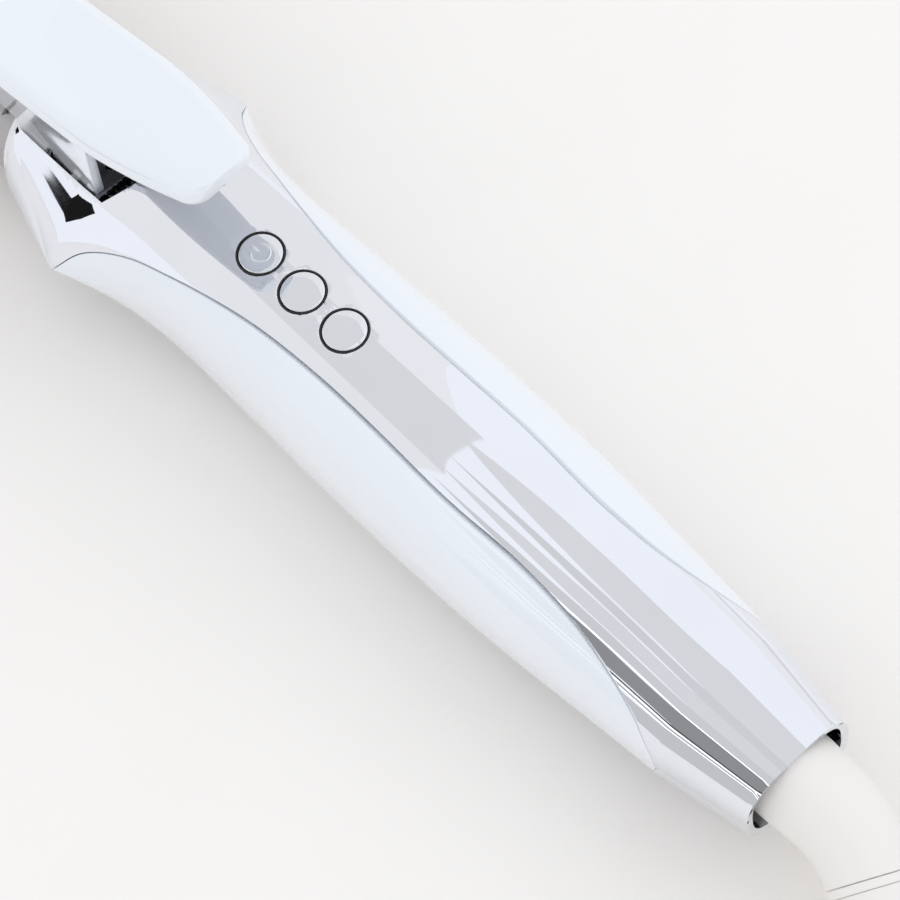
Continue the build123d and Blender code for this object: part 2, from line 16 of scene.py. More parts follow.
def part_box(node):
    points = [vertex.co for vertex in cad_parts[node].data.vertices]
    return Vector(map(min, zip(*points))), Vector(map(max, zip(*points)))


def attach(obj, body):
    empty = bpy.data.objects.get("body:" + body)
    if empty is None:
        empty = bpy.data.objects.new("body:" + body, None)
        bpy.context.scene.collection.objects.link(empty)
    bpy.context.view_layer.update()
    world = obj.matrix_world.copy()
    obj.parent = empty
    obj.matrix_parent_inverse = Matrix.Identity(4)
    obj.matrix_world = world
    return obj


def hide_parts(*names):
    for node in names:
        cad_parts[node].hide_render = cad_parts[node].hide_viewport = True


bl_info = {
    "name": "Curling Iron Finish",
    "version": (1, 0, 0),
    "blender": (4, 5, 0),
    "location": "View3D > Sidebar > Curling Iron",
    "description": "Makes the visible shells, lever, buttons and gland of a curling iron",
    "category": "Object",
}

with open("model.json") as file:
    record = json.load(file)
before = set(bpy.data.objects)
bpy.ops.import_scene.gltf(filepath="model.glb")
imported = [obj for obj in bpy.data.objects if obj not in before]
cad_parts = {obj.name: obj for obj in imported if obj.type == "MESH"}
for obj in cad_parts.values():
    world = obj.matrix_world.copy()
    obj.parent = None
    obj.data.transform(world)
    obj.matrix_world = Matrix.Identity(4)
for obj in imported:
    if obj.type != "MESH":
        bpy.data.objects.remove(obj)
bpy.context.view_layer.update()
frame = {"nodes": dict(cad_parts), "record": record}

MM = 0.001
TUBE_LOW, TUBE_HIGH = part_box("barrel_tube")
BARREL_START = 12.0 * MM
SHOULDER_X = TUBE_LOW.x - BARREL_START
AXIS_Z = (TUBE_LOW.z + TUBE_HIGH.z) / 2
BARREL_R = (TUBE_HIGH.z - TUBE_LOW.z) / 2

# Handle sections in millimetres: station, half width, height over and under the axis,
# and the power that squares the section.
SECTIONS = [
    (-147.5, 15.0, 12.0, 12.0, 2.7), (-132.5, 16.1, 13.1, 13.6, 2.6),
    (-115.0, 17.4, 14.6, 15.6, 2.6), (-98.0, 18.2, 15.9, 17.2, 2.6),
    (-80.0, 18.4, 16.8, 18.2, 2.6), (-62.0, 18.2, 17.3, 18.6, 2.6),
    (-43.0, 17.7, 17.5, 18.6, 2.6), (-25.0, 17.6, 17.8, 18.6, 2.5),
    (-12.0, 19.6, 18.6, 18.6, 2.0), (0.0, 24.0, 19.5, 18.8, 1.4),
]
REAR_RIM = (-165.9, 11.8, 10.0, 10.0, 2.8)
FRONT_RIM_X = 18.9
FRONT_RIM_R = 18.3
CREASE = radians(42)
LAND_Z = 18.0
PARTING = 0.06

# Edge of a side panel in side view, rear tip over the top to front tip, millimetres.
PANEL_EDGE = [
    (-147.7, 0.0), (-146.2, 3.9), (-143.0, 7.2), (-139.0, 9.1), (-132.0, 10.9),
    (-122.0, 12.6), (-108.0, 14.0), (-90.0, 15.0), (-75.0, 15.7), (-60.0, 16.0),
    (-45.0, 15.7), (-34.0, 14.8), (-24.0, 13.2), (-15.0, 11.0), (-6.0, 6.6), (-0.6, 0.0),
]


def place(x, y, z):
    """A point given by station, width and height in millimetres, in the row's frame."""
    return Vector((SHOULDER_X + x * MM, y * MM, AXIS_Z + z * MM))


def cubic(points, count):
    """Points along a smooth curve through the given points, closer near its ends."""
    out = []
    last = len(points) - 1
    for step in range(count + 1):
        t = (1 - cos(pi * step / count)) / 2 * last
        i = min(int(t), last - 1)
        u = t - i
        p1, p2 = points[i], points[i + 1]
        p0 = points[i - 1] if i > 0 else [2 * a - b for a, b in zip(p1, p2)]
        p3 = points[i + 2] if i + 2 <= last else [2 * a - b for a, b in zip(p2, p1)]
        out.append(tuple(
            0.5 * (2 * b + (c - a) * u + (2 * a - 5 * b + 4 * c - d) * u * u
                   + (3 * b - a - 3 * c + d) * u ** 3)
            for a, b, c, d in zip(p0, p1, p2, p3)
        ))
    return out


def section_at(x):
    """Half width, heights and power of the handle's section at a station."""
    if x <= SECTIONS[0][0]:
        t = (x - REAR_RIM[0]) / (SECTIONS[0][0] - REAR_RIM[0])
        return [a + (b - a) * t for a, b in zip(REAR_RIM[1:], SECTIONS[0][1:])]
    i = max(k for k in range(len(SECTIONS) - 1) if SECTIONS[k][0] <= x)
    a, b = SECTIONS[i], SECTIONS[i + 1]
    h = b[0] - a[0]
    t = (x - a[0]) / h
    out = []
    for k in range(1, 5):
        before = SECTIONS[i - 1] if i else a
        after = SECTIONS[i + 2] if i + 2 < len(SECTIONS) else b
        slope_a = (b[k] - before[k]) / (b[0] - before[0])
        slope_b = (after[k] - a[k]) / (after[0] - a[0])
        out.append(
            a[k] * (1 + 2 * t) * (1 - t) ** 2 + b[k] * (3 - 2 * t) * t * t
            + slope_a * h * t * (1 - t) ** 2 - slope_b * h * t * t * (1 - t)
        )
    return out


def on_section(x, angle):
    """Width and height of the point of a section at an angle, 0 on the left, 90 degrees on top."""
    half_width, top, bottom, power = section_at(x)
    c, s = cos(angle), sin(angle)
    y = half_width * abs(c) ** (2 / power) * (1 if c > 0 else -1)
    z = (top if s > 0 else bottom) * abs(s) ** (2 / power) * (1 if s > 0 else -1)
    return y, max(z, -LAND_Z)


def edge_angle(x, z):
    """Angle of the point of a section that lies at height z on the left."""
    _, top, bottom, power = section_at(x)
    height = top if z > 0 else bottom
    return asin(min(1, abs(z) / height) ** (power / 2)) * (1 if z > 0 else -1)


class Skin:
    """Collects patches of surface and turns them into one mesh object."""

    def __init__(self):
        self.verts = []
        self.faces = []

    def patch(self, rows, closed=False):
        """Adds a grid of points, each row joined to the next."""
        base = len(self.verts)
        width = len(rows[0])
        for row in rows:
            self.verts.extend(row)
        for i in range(len(rows) - 1):
            for j in range(width if closed else width - 1):
                a = base + i * width + j
                b = base + i * width + (j + 1) % width
                self.faces.append((a, b, b + width, a + width))
        return base

    def cap(self, row):
        """Closes a ring of points with one face."""
        base = len(self.verts)
        self.verts.extend(row)
        self.faces.append(tuple(range(base, base + len(row))))

    def build(self, name, closed=True):
        mesh = bpy.data.meshes.new(name)
        mesh.from_pydata([tuple(v) for v in self.verts], [], self.faces)
        bm = bmesh.new()
        bm.from_mesh(mesh)
        bmesh.ops.remove_doubles(bm, verts=bm.verts, dist=2e-6)
        bmesh.ops.dissolve_degenerate(bm, edges=bm.edges, dist=1e-6)
        if closed:
            bmesh.ops.recalc_face_normals(bm, faces=bm.faces)
        bm.to_mesh(mesh)
        bm.free()
        obj = bpy.data.objects.new(name, mesh)
        bpy.context.scene.collection.objects.link(obj)
        return obj


def modify(obj, kind, **values):
    """Adds a modifier, applies it into the mesh and removes it."""
    mod = obj.modifiers.new(kind.title(), kind)
    for key, value in values.items():
        setattr(mod, key, value)
    bpy.context.view_layer.update()
    evaluated = obj.evaluated_get(bpy.context.evaluated_depsgraph_get())
    mesh = bpy.data.meshes.new_from_object(evaluated)
    obj.modifiers.clear()
    obj.data = mesh
    return obj


def cut(obj, tools, operation="DIFFERENCE", weld=0.0):
    """Cuts closed tool objects out of a closed object, removes the tools and welds slivers."""
    for tool in tools:
        modify(obj, "BOOLEAN", operation=operation, object=tool, solver="EXACT")
        bpy.data.objects.remove(tool)
    if weld:
        bm = bmesh.new()
        bm.from_mesh(obj.data)
        bmesh.ops.remove_doubles(bm, verts=bm.verts, dist=weld * MM)
        bmesh.ops.dissolve_degenerate(bm, edges=bm.edges, dist=weld * MM / 2)
        bm.to_mesh(obj.data)
        bm.free()
    return obj


def soften(obj, width=0.0, segments=2, angle=38):
    """Rounds the sharp edges by width in millimetres and shades the rest smooth."""
    if width:
        modify(obj, "BEVEL", width=width * MM, segments=segments, limit_method="ANGLE",
               angle_limit=radians(angle), harden_normals=False, use_clamp_overlap=True)
    mesh = obj.data
    mesh.polygons.foreach_set("use_smooth", [True] * len(mesh.polygons))
    mesh.set_sharp_from_angle(angle=radians(angle))
    return obj


def settle(obj, body, material, slot, *nodes):
    """Gives a finished piece its material and body and hides the nodes it stands for; the slot is not used.
    """
    obj.data.materials.clear()
    obj.data.materials.append(material)
    obj.data.polygons.foreach_set("material_index", [0] * len(obj.data.polygons))
    if nodes:
        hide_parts(*nodes)
    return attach(obj, body)


def ring(centre, normal, radius, count, start=0.0):
    """Points of a circle about a point, square to a direction."""
    side = Vector((0, 0, 1)).cross(normal)
    if side.length < 1e-6:
        side = Vector((1, 0, 0)).cross(normal)
    side.normalize()
    up = normal.cross(side).normalized()
    return [
        centre + radius * (cos(start + 2 * pi * k / count) * side + sin(start + 2 * pi * k / count) * up)
        for k in range(count)
    ]


def turned(name, profile, origin, axis, count=96):
    """A closed solid turned from a profile of (distance along axis, radius) in millimetres."""
    skin = Skin()
    rows = [ring(origin + axis * s * MM, axis, max(r, 1e-4) * MM, count) for s, r in profile]
    skin.patch(rows + [rows[0]], closed=True)
    return skin.build(name)


def prism(name, outline, low, high):
    """A closed prism over a plan outline of (station, width), between two heights."""
    skin = Skin()
    under = [place(x, y, low) for x, y in outline]
    over = [place(x, y, high) for x, y in outline]
    skin.patch([under, over], closed=True)
    skin.cap(under)
    skin.cap(over)
    return skin.build(name)


def side_prism(name, outline, near, far):
    """A closed prism over a side outline of (station, height), between two widths."""
    skin = Skin()
    left = [place(x, near, z) for x, z in outline]
    right = [place(x, far, z) for x, z in outline]
    skin.patch([left, right], closed=True)
    skin.cap(left)
    skin.cap(right)
    return skin.build(name)


# ---------------------------------------------------------------- geometry trees


def grow(obj, tree, values):
    """Runs a geometry tree on an object with named inputs and keeps the plain mesh."""
    mod = obj.modifiers.new("Grow", "NODES")
    mod.node_group = tree
    for item in tree.interface.items_tree:
        if item.in_out == "INPUT" and item.name in values:
            mod[item.identifier] = values[item.name]
    bpy.context.view_layer.update()
    evaluated = obj.evaluated_get(bpy.context.evaluated_depsgraph_get())
    mesh = bpy.data.meshes.new_from_object(evaluated)
    obj.modifiers.clear()
    obj.data = mesh
    return obj


def new_tree(name, inputs):
    """A geometry tree with named inputs, its group input and its closing Set Material node."""
    tree = bpy.data.node_groups.new(name, "GeometryNodeTree")
    tree.interface.new_socket("Geometry", in_out="INPUT", socket_type="NodeSocketGeometry")
    for label, kind in inputs:
        tree.interface.new_socket(label, in_out="INPUT", socket_type=kind)
    tree.interface.new_socket("Geometry", in_out="OUTPUT", socket_type="NodeSocketGeometry")
    start = tree.nodes.new("NodeGroupInput")
    paint = tree.nodes.new("GeometryNodeSetMaterial")
    end = tree.nodes.new("NodeGroupOutput")
    tree.links.new(start.outputs["Material"], paint.inputs["Material"])
    tree.links.new(paint.outputs["Geometry"], end.inputs["Geometry"])
    return tree, start, paint


def repeat(name, piece, points, finish):
    """Copies of a piece at points, made by instancing, as one mesh; the piece is then removed."""
    tree, start, paint = new_tree(name + "_tree", [
        ("Piece", "NodeSocketObject"), ("Material", "NodeSocketMaterial")])
    info = tree.nodes.new("GeometryNodeObjectInfo")
    spots = tree.nodes.new("GeometryNodeInstanceOnPoints")
    real = tree.nodes.new("GeometryNodeRealizeInstances")
    tree.links.new(start.outputs["Piece"], info.inputs["Object"])
    tree.links.new(start.outputs["Geometry"], spots.inputs["Points"])
    tree.links.new(info.outputs["Geometry"], spots.inputs["Instance"])
    tree.links.new(spots.outputs["Instances"], real.inputs["Geometry"])
    tree.links.new(real.outputs["Geometry"], paint.inputs["Geometry"])
    mesh = bpy.data.meshes.new(name)
    mesh.from_pydata([tuple(p) for p in points], [], [])
    obj = bpy.data.objects.new(name, mesh)
    bpy.context.scene.collection.objects.link(obj)
    grow(obj, tree, {"Piece": piece, "Material": finish})
    bpy.data.objects.remove(piece)
    return obj


def coil(name, centre, turns, radius, wire, length, finish):
    """A coil of round wire about the left to right axis through a point."""
    tree, start, paint = new_tree(name + "_tree", [
        ("Turns", "NodeSocketFloat"), ("Radius", "NodeSocketFloat"), ("Wire", "NodeSocketFloat"),
        ("Length", "NodeSocketFloat"), ("Centre", "NodeSocketVector"), ("Material", "NodeSocketMaterial")])
    spiral = tree.nodes.new("GeometryNodeCurveSpiral")
    section = tree.nodes.new("GeometryNodeCurvePrimitiveCircle")
    sweep = tree.nodes.new("GeometryNodeCurveToMesh")
    turn = tree.nodes.new("GeometryNodeTransform")
    real = tree.nodes.new("GeometryNodeRealizeInstances")
    spiral.inputs["Resolution"].default_value = 40
    section.inputs["Resolution"].default_value = 14
    sweep.inputs["Fill Caps"].default_value = True
    turn.inputs["Rotation"].default_value = (-pi / 2, 0, 0)
    tree.links.new(start.outputs["Turns"], spiral.inputs["Rotations"])
    tree.links.new(start.outputs["Radius"], spiral.inputs["Start Radius"])
    tree.links.new(start.outputs["Radius"], spiral.inputs["End Radius"])
    tree.links.new(start.outputs["Length"], spiral.inputs["Height"])
    tree.links.new(start.outputs["Wire"], section.inputs["Radius"])
    tree.links.new(start.outputs["Centre"], turn.inputs["Translation"])
    tree.links.new(spiral.outputs["Curve"], sweep.inputs["Curve"])
    tree.links.new(section.outputs["Curve"], sweep.inputs["Profile Curve"])
    tree.links.new(sweep.outputs["Mesh"], turn.inputs["Geometry"])
    tree.links.new(turn.outputs["Geometry"], real.inputs["Geometry"])
    tree.links.new(real.outputs["Geometry"], paint.inputs["Geometry"])
    obj = bpy.data.objects.new(name, bpy.data.meshes.new(name))
    bpy.context.scene.collection.objects.link(obj)
    return grow(obj, tree, {
        "Turns": turns, "Radius": radius * MM, "Wire": wire * MM, "Length": length * MM,
        "Centre": tuple(centre), "Material": finish})


def screw(head_low, head_high, head_r, end, shank_r, drive):
    """A cross-head screw upright at the origin, from its head to its shank's end, in millimetres."""
    way = 1 if end > head_high else -1
    face, seat = (head_low, head_high) if way > 0 else (head_high, head_low)
    profile = [
        (face, 0.0), (face, head_r - 0.35), (face + way * 0.35, head_r), (seat, head_r), (seat, shank_r),
    ]
    pitch = 0.9
    turns = int((abs(end - seat) - 1.5) / pitch)
    for k in range(turns):
        at = seat + way * (0.6 + pitch * k)
        profile += [(at, shank_r), (at + way * 0.3, shank_r * 0.8), (at + way * 0.6, shank_r * 0.8)]
    profile += [(end - way * 0.6, shank_r * 0.8), (end, shank_r * 0.3), (end, 0.0)]
    body = turned("screw", profile, Vector((0, 0, 0)), UPWARD, 32)
    slots = []
    for wide, deep in ((drive, drive * 0.28), (drive * 0.28, drive)):
        tool = prism("slot", [(-wide, -deep), (wide, -deep), (wide, deep), (-wide, deep)], 0, 1.4)
        tool.data.transform(Matrix.Translation(-place(0, 0, 0.7) + Vector((0, 0, face * MM))))
        slots.append(tool)
    return soften(cut(body, slots), angle=30)


# ---------------------------------------------------------------- materials


def new_material(name):
    material = bpy.data.materials.new(name)
    material.use_nodes = True
    tree = material.node_tree
    shader = tree.nodes["Principled BSDF"]
    return material, tree, shader


def link(tree, a, b):
    tree.links.new(a, b)


def noise(tree, scale, detail, stretch=(1, 1, 1)):
    """A noise texture on the object's own coordinates."""
    coords = tree.nodes.new("ShaderNodeTexCoord")
    mapping = tree.nodes.new("ShaderNodeMapping")
    mapping.inputs["Scale"].default_value = stretch
    texture = tree.nodes.new("ShaderNodeTexNoise")
    texture.inputs["Scale"].default_value = scale
    texture.inputs["Detail"].default_value = detail
    link(tree, coords.outputs["Object"], mapping.inputs["Vector"])
    link(tree, mapping.outputs["Vector"], texture.inputs["Vector"])
    return texture.outputs["Fac"]


def spread(tree, value, low, high):
    """Maps a noise from its middle range onto low to high."""
    node = tree.nodes.new("ShaderNodeMapRange")
    node.inputs["From Min"].default_value = 0.3
    node.inputs["From Max"].default_value = 0.7
    node.inputs["To Min"].default_value = low
    node.inputs["To Max"].default_value = high
    link(tree, value, node.inputs["Value"])
    return node.outputs["Result"]


def finish_material(name, dark, light, roughness, metallic=0.0, coat=0.0, mottle=30.0,
                    grain=900.0, bump=0.02, depth=0.00005, stretch=(1, 1, 1)):
    """A surface with uneven tone, uneven gloss and a fine relief."""
    material, tree, shader = new_material(name)
    mix = tree.nodes.new("ShaderNodeMix")
    mix.data_type = "RGBA"
    mix.inputs[6].default_value = (*dark, 1)
    mix.inputs[7].default_value = (*light, 1)
    link(tree, spread(tree, noise(tree, mottle, 3), 0, 1), mix.inputs[0])
    link(tree, mix.outputs[2], shader.inputs["Base Color"])
    gloss = spread(tree, noise(tree, mottle * 4, 4, stretch), roughness[0], roughness[1])
    link(tree, gloss, shader.inputs["Roughness"])
    relief = tree.nodes.new("ShaderNodeBump")
    relief.inputs["Strength"].default_value = bump
    relief.inputs["Distance"].default_value = depth
    link(tree, noise(tree, grain, 5, stretch), relief.inputs["Height"])
    link(tree, relief.outputs["Normal"], shader.inputs["Normal"])
    shader.inputs["Metallic"].default_value = metallic
    shader.inputs["Coat Weight"].default_value = coat
    shader.inputs["Coat Roughness"].default_value = 0.03
    return material


MATERIALS = {}


def material(slot):
    """The material of a slot, made once."""
    if slot not in MATERIALS:
        MATERIALS[slot] = make_material(slot)
    return MATERIALS[slot]


def make_material(slot):
    finishes = bpy.context.scene.curling_finishes
    chrome = tuple(finishes.chrome)
    white = tuple(finishes.white)
    ivory = tuple(finishes.ivory)
    shade = {
        "chrome": lambda: finish_material(
            "mirror_chrome", [c * 0.97 for c in chrome], chrome, (0.015, 0.04), 1.0, grain=60, bump=0.01),
        "white_gloss": lambda: finish_material(
            "white_gloss", [c * 0.985 for c in white], white, (0.05, 0.09), coat=1.0, grain=120, bump=0.01),
        "ivory_plastic": lambda: finish_material(
            "ivory_satin", [c * 0.98 for c in ivory], ivory, (0.38, 0.5), grain=2600, bump=0.15),
        "heatproof_white": lambda: finish_material(
            "heatproof_white", (0.8, 0.8, 0.8), (0.84, 0.84, 0.83), (0.3, 0.42), grain=2200, bump=0.12),
        "barrel_finish": lambda: finish_material(
            "barrel_coating", (0.42, 0.41, 0.42), (0.5, 0.49, 0.5), (0.2, 0.34), 0.9,
            mottle=60, grain=1400, bump=0.1, stretch=(0.04, 1, 1)),
        "black_seal": lambda: finish_material(
            "black_seal", (0.006, 0.006, 0.007), (0.012, 0.012, 0.013), (0.4, 0.55), grain=3000, bump=0.2),
        "aluminium": lambda: finish_material(
            "milled_aluminium", (0.7, 0.7, 0.71), (0.8, 0.8, 0.81), (0.25, 0.4), 1.0,
            stretch=(1, 0.05, 1), bump=0.15),
        "steel": lambda: finish_material(
            "plain_steel", (0.55, 0.55, 0.56), (0.66, 0.66, 0.67), (0.18, 0.3), 1.0, bump=0.1),
        "brass": lambda: finish_material(
            "contact_brass", (0.72, 0.52, 0.22), (0.82, 0.63, 0.3), (0.2, 0.35), 1.0, bump=0.1),
        "inner_plastic": lambda: finish_material(
            "filled_plastic", (0.05, 0.05, 0.055), (0.08, 0.08, 0.085), (0.45, 0.6), grain=1800, bump=0.3),
        "ceramic": lambda: finish_material(
            "heater_ceramic", (0.72, 0.7, 0.64), (0.8, 0.78, 0.72), (0.5, 0.7), grain=2400, bump=0.3),
        "board_green": lambda: finish_material(
            "board_mask", (0.01, 0.09, 0.035), (0.015, 0.13, 0.05), (0.2, 0.35),
            coat=0.4, mottle=300, bump=0.2),
        "component_black": lambda: finish_material(
            "moulded_epoxy", (0.015, 0.015, 0.016), (0.03, 0.03, 0.031), (0.4, 0.6), grain=2600, bump=0.3),
        "lead_white": lambda: finish_material(
            "white_silicone", (0.7, 0.7, 0.69), (0.8, 0.8, 0.79), (0.4, 0.55), bump=0.1),
        "lead_red": lambda: finish_material(
            "red_silicone", (0.4, 0.03, 0.02), (0.5, 0.05, 0.03), (0.4, 0.55), bump=0.1),
    }
    return shade[slot]()


# ---------------------------------------------------------------- handle


CROWN = 72
EDGE_ROWS = 110


def shell_rows(upper):
    """Rows over (or under) the handle from its rear rim to the shoulder, with the panels' edges."""
    sign = 1 if upper else -1
    gap = bpy.context.scene.curling_handle.panel_gap / MM
    edge = [(x, z + gap) for x, z in cubic(PANEL_EDGE, EDGE_ROWS)]
    stations = [(REAR_RIM[0] + (edge[0][0] - gap - REAR_RIM[0]) * k / 14, PARTING) for k in range(15)]
    stations += [(x, max(z, PARTING)) for x, z in edge]
    stations += [(-0.25, PARTING), (0.0, PARTING)]
    rows = []
    for x, z in stations:
        start = edge_angle(x, sign * z)
        angles = [start + (sign * pi - 2 * start) * k / CROWN for k in range(CROWN + 1)]
        rows.append([place(x, *on_section(x, a)) for a in angles])
    return rows


def front_patches(upper):
    """The saddle and the two flat facets between the shoulder and the front rim."""
    sign = 1 if upper else -1

    def rim(a):
        return FRONT_RIM_R * cos(a), max(FRONT_RIM_R * sin(a), -LAND_Z)

    start = edge_angle(0.0, sign * PARTING)
    back = [on_section(0.0, start + (sign * pi - 2 * start) * k / CROWN) for k in range(CROWN + 1)]
    saddle, steps = [], 16
    for i in range(steps + 1):
        t = i / steps
        row = []
        for k, (y, z) in enumerate(back):
            a = sign * (CREASE + (pi - 2 * CREASE) * k / CROWN)
            ry, rz = rim(a)
            row.append(place(FRONT_RIM_X * t, y + (ry - y) * t, z + (rz - z) * t))
        saddle.append(row)
    facets = []
    for side in (1, -1):
        tip = (side * back[0][0], back[0][1])
        facet = []
        for i in range(steps + 1):
            t = i / steps
            row = []
            for k in range(13):
                a = sign * CREASE * k / 12
                ry, rz = rim(a)
                ry *= side
                if k == 0:
                    rz = sign * PARTING
                row.append(place(FRONT_RIM_X * t, tip[0] + (ry - tip[0]) * t, tip[1] + (rz - tip[1]) * t))
            facet.append(row)
        facets.append(facet)
    return [saddle] + facets


def shell_skin(name, upper):
    """One chrome shell as an open surface given its wall."""
    skin = Skin()
    skin.patch(shell_rows(upper))
    for rows in front_patches(upper):
        skin.patch(rows)
    obj = skin.build(name, closed=False)
    bm = bmesh.new()
    bm.from_mesh(obj.data)
    bmesh.ops.recalc_face_normals(bm, faces=bm.faces)
    top = max(bm.faces, key=lambda f: f.calc_center_median().z * (1 if upper else -1))
    if (top.normal.z > 0) != upper:
        bmesh.ops.reverse_faces(bm, faces=bm.faces)
    bm.to_mesh(obj.data)
    bm.free()
    wall = bpy.context.scene.curling_handle.wall
    return modify(obj, "SOLIDIFY", thickness=wall, offset=-1, use_even_offset=False)


POCKET_Y = 12.0
POCKET_CORNER = -5.2
POCKET_MIDDLE = -9.6


def pocket_outline(front, grow=0.0, steps=16):
    """The lever pocket in plan, its rear edge bowed."""
    side = POCKET_Y + grow
    rear = []
    for k in range(steps + 1):
        y = side - 2 * side * k / steps
        bow = 1 - (y / side) ** 2
        rear.append((POCKET_CORNER + (POCKET_MIDDLE - POCKET_CORNER) * bow - grow, y))
    return rear + [(front, -side), (front, side)]


def pocket_lining(name):
    """Walls that go down from the pocket's edge to its floor."""
    outline = pocket_outline(17.0)[:-2]
    path = [(18.0 - 2 * k, POCKET_Y) for k in range(12)] + outline
    path += [(-4.0 + 2 * k, -POCKET_Y) for k in range(12)]
    skin = Skin()
    tops, lows, outer_low, outer_top = [], [], [], []
    for x, y in path:
        half_width, top, _, power = section_at(min(x, 0.0))
        z = top * (1 - min(1, abs(y) / half_width) ** power) ** (1 / power)
        if x > 0:
            z += (sqrt(FRONT_RIM_R ** 2 - y * y) - z) * x / FRONT_RIM_X
        out_x = x - 1.0 if abs(y) < POCKET_Y else x
        out_y = y if abs(y) < POCKET_Y else y * 1.09
        tops.append(place(x, y, z - 0.7))
        lows.append(place(x, y, 1.5 if x < 10 else 12.0))
        outer_low.append(place(out_x, out_y, 1.5 if x < 10 else 12.0))
        outer_top.append(place(out_x, out_y, z - 1.2))
    skin.patch([tops, lows, outer_low, outer_top, tops])
    for k in (0, -1):
        skin.cap([tops[k], lows[k], outer_low[k], outer_top[k]])
    lining = skin.build(name)
    floor = prism(name + "_floor", pocket_outline(11.4, 0.2), 0.3, 1.5)
    return [lining, floor]


def join(first, others):
    """Joins other mesh objects into the first."""
    bm = bmesh.new()
    bm.from_mesh(first.data)
    for other in others:
        bm.from_mesh(other.data)
        bpy.data.objects.remove(other)
    bm.to_mesh(first.data)
    bm.free()
    return first


BUTTON_X = (-35.6, -46.6, -57.6)


def make_top_shell():
    shell = shell_skin("top_shell_chrome", True)
    pocket = prism("pocket_tool", pocket_outline(22.0), 3.0, 30.0)
    holes = []
    for x in BUTTON_X:
        origin = place(x, 0, 8.0)
        holes.append(turned("hole", [(0, 4.5), (14, 4.5), (14, 0), (0, 0)], origin, Vector((0, 0, 1)), 64))
    cut(shell, [pocket] + holes, weld=0.01)
    soften(shell, 0.12, 2)
    join(shell, [soften(part) for part in pocket_lining("pocket")])
    settle(shell, "handle", material("chrome"), "chrome", "top_shell")


def make_bottom_shell():
    shell = shell_skin("bottom_shell_chrome", False)
    holes = []
    for x, y in ((-103.0, -5.0), (-103.0, 5.0), (-15.5, -8.0), (-15.5, 8.0)):
        origin = place(x, y, -25.0)
        holes.append(turned("hole", [(0, 2.6), (12, 2.6), (12, 0), (0, 0)], origin, Vector((0, 0, 1)), 48))
    cut(shell, holes)
    soften(shell, 0.2, 2)
    settle(shell, "handle", material("chrome"), "chrome", "bottom_shell")


def make_panel(side):
    """One glossy side panel: a lens of shell with a rounded edge."""
    wall = 1.4
    outer, inner = [], []
    steps = 40
    for x, z in cubic(PANEL_EDGE, EDGE_ROWS):
        top = edge_angle(x, max(z, 1e-4))
        low = edge_angle(x, -max(z, 1e-4))
        row, back = [], []
        for k in range(steps + 1):
            a = low + (top - low) * k / steps
            y, height = on_section(x, a)
            row.append(place(x, side * y, height))
            back.append(place(x, side * (y - wall), height * (1 - wall / 22)))
        outer.append(row)
        inner.append(back)
    skin = Skin()
    skin.patch(outer)
    skin.patch(inner)
    skin.patch([[row[0] for row in outer], [row[0] for row in inner]])
    skin.patch([[row[-1] for row in outer], [row[-1] for row in inner]])
    for end in (0, -1):
        skin.patch([outer[end], inner[end]])
    name = "left_panel" if side > 0 else "right_panel"
    panel = soften(skin.build(name + "_gloss"), 0.18, 2, 45)
    settle(panel, "handle", material("white_gloss"), "white_gloss", name)


# ---------------------------------------------------------------- lever and clamp


HINGE_X = 5.0
HINGE_Z = 9.5
LEVER_REAR = -31.5
LEVER_FRONT = 50.0
LEVER_TAIL_HALF = 7.0
LEVER_HALF = 11.45
LEVER_REAR_TOP = 39.9
LEVER_FALL = 0.2504
LEVER_BEVEL = 2.6


def lever_half_width(x):
    """Half width of the lever in plan."""
    if x < 1:
        return LEVER_TAIL_HALF + (LEVER_HALF - LEVER_TAIL_HALF) * sin(pi / 2 * (x - LEVER_REAR) / 32.5)
    if x > 28:
        return LEVER_HALF - 3.45 * ((x - 28) / 22) ** 2
    return LEVER_HALF


def lever_top(x):
    """Height of the lever's top at a station."""
    if x < 24:
        return LEVER_REAR_TOP - LEVER_FALL * (x - LEVER_REAR)
    t = (x - 24) / 26
    return 26.0 - 6.5 * t - 0.6 * t * (1 - t)


